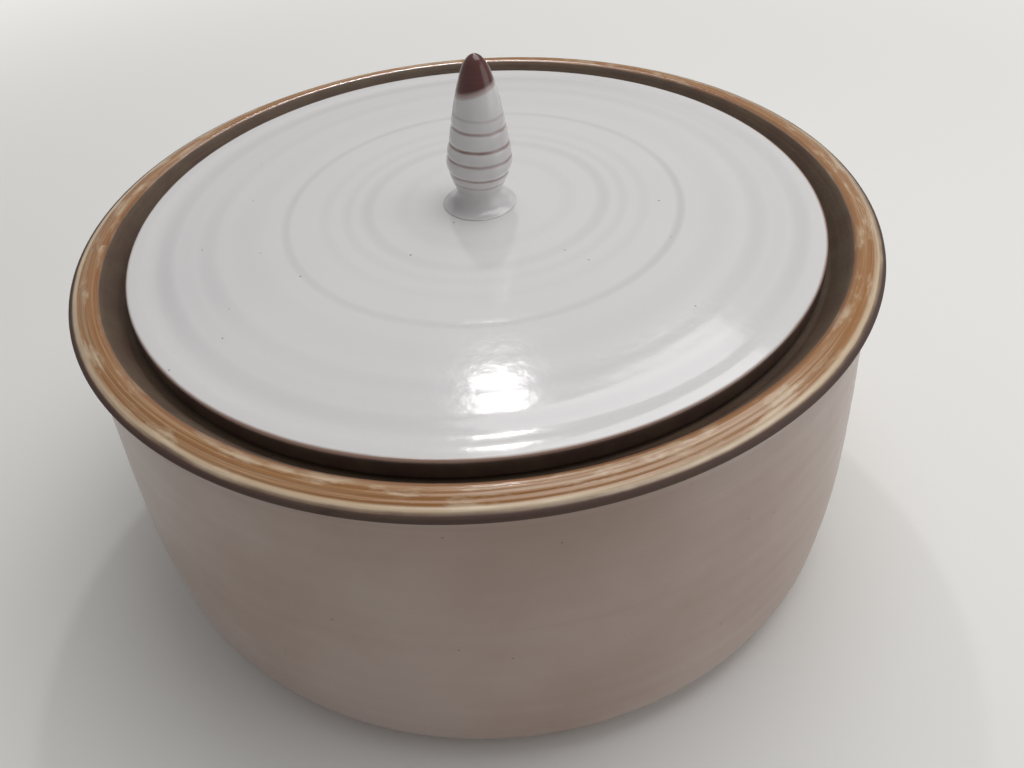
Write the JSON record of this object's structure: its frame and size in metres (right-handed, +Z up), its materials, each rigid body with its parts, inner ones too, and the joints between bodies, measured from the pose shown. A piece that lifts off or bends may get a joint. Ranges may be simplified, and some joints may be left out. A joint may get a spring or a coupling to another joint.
{
  "type": "lidded pot",
  "caption": "Hand-thrown stoneware casserole with a rolled rim, a steep gallery and a lift-off domed lid with a tall pointed knob.",
  "frame": {"origin": "middle of the flat face that the pot stands on", "axes": "+Z up along the pot's axis; the knob leans towards +X, and -Y faces the viewer of the picture"},
  "size_m": [0.259, 0.259, 0.1728],
  "materials": {
    "pot_glaze": "satin white glaze, ochre on the rim, bare dark clay in the gallery",
    "lid_glaze": "glossy white glaze, rust-brown where it breaks at the edge",
    "knob_glaze": "glossy white glaze with a dark red-brown dipped tip"
  },
  "bodies": {
    "pot": {"pot_body": "pot_glaze"},
    "lid": {"lid": "lid_glaze", "lid_knob": "knob_glaze"}
  },
  "joints": [
    {"name": "lid_lift", "type": "slide", "parent": "pot", "child": "lid", "axis": [0, 0, 1], "range_m": [0, 0.12]}
  ]
}
